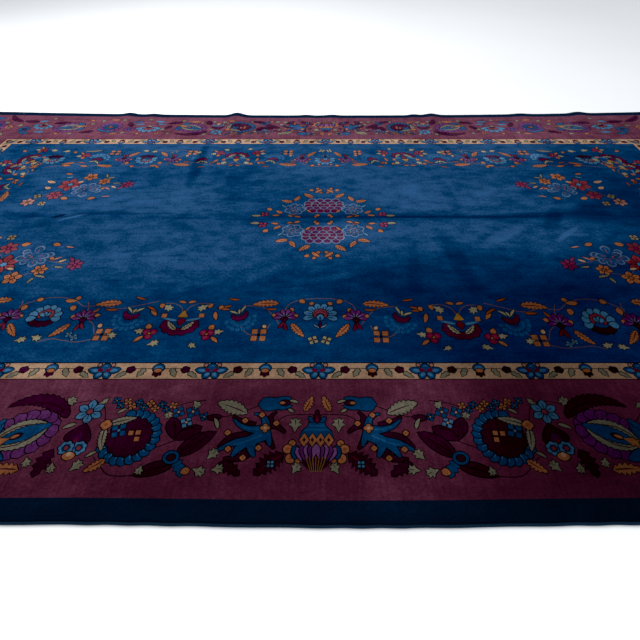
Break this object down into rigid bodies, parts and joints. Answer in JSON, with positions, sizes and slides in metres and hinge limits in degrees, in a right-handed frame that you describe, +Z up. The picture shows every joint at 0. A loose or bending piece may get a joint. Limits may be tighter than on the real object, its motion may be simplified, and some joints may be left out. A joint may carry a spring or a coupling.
{
  "type": "hand-knotted area rug",
  "caption": "Large rectangular hand-knotted wool rug with overcast edge cords, lying flat on a floor with slight ripples along one long edge and a faint crease along its middle.",
  "frame": {"origin": "on the floor, at the middle of the rug", "axes": "+X along the length, +Y across the width towards the back edge with the ripples, +Z up"},
  "size_m": [5.5186, 3.05, 0.0294],
  "materials": {
    "knotted_wool": "cut wool pile, deep blue field with plum, cream and navy borders",
    "overcast_wool": "dark navy wool yarn wrapped over the edge"
  },
  "bodies": {
    "root": {"carpet": "knotted_wool", "edge_cord_front": "overcast_wool", "edge_cord_back": "overcast_wool", "edge_cord_left": "overcast_wool", "edge_cord_right": "overcast_wool"}
  },
  "joints": []
}
